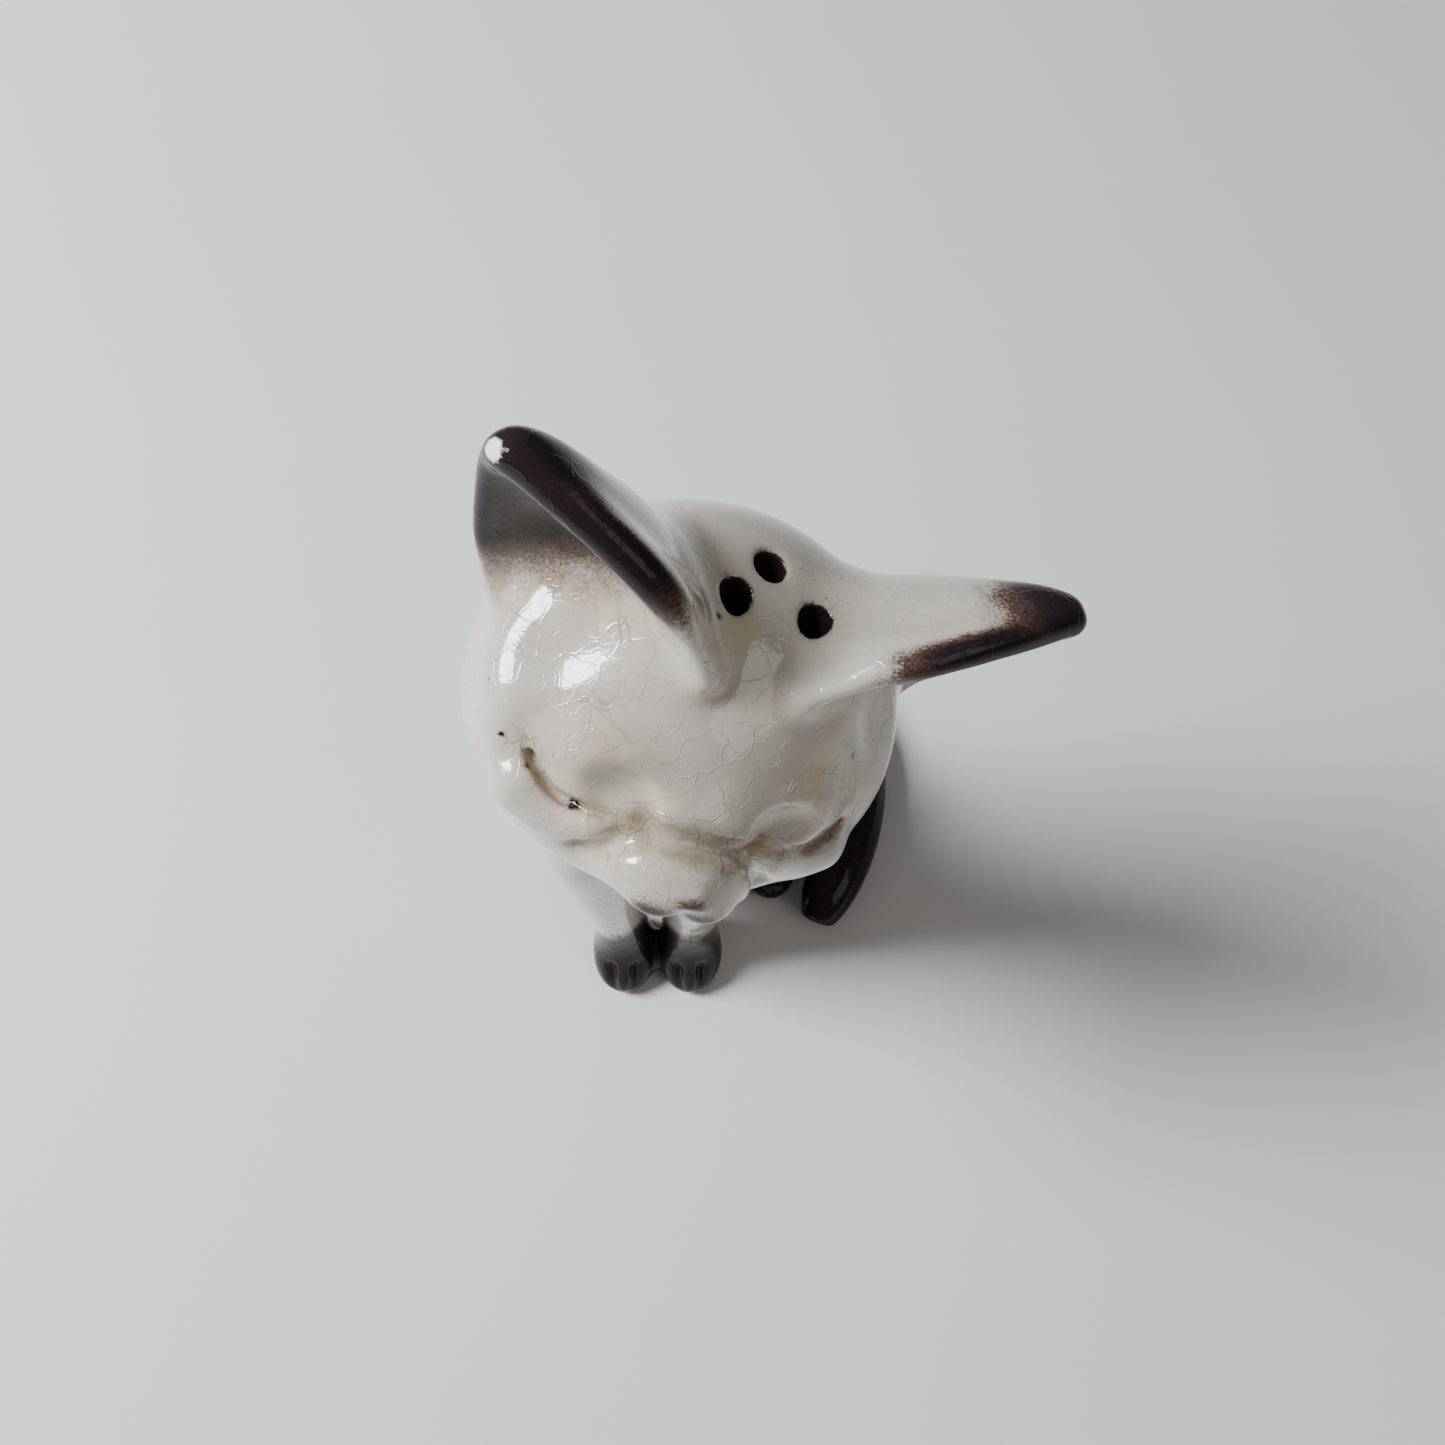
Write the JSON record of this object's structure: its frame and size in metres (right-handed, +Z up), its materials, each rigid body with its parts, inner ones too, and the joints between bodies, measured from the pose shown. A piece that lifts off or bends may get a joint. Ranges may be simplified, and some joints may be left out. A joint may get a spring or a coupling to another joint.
{
  "type": "ceramic cat figurine",
  "caption": "Hollow seated ceramic cat looking up with its head tilted, pour holes in the crown, tail round its side and a cork stopper in the base.",
  "frame": {"origin": "centre of the bounding box, on the table plane that the foot ring stands on", "axes": "+Z up, the torso and forelegs face -Y, +X is the cat's left"},
  "size_m": [0.0508, 0.0526, 0.0921],
  "materials": {
    "cream_glaze": "glossy crazed glaze",
    "brown_glaze": "glossy glaze",
    "cork": "matt"
  },
  "bodies": {
    "cat": {"head_shell": "cream_glaze", "left_ear": "brown_glaze", "right_ear": "brown_glaze", "body_shell": "cream_glaze", "left_foreleg": "brown_glaze", "right_foreleg": "brown_glaze", "left_hind_paw": "brown_glaze", "right_hind_paw": "brown_glaze", "tail": "brown_glaze"},
    "stopper": {"cork_stopper": "cork"}
  },
  "joints": [
    {"name": "stopper_pull", "type": "slide", "parent": "cat", "child": "stopper", "axis": [0, 0, -1], "range_m": [0, 0.03]}
  ]
}
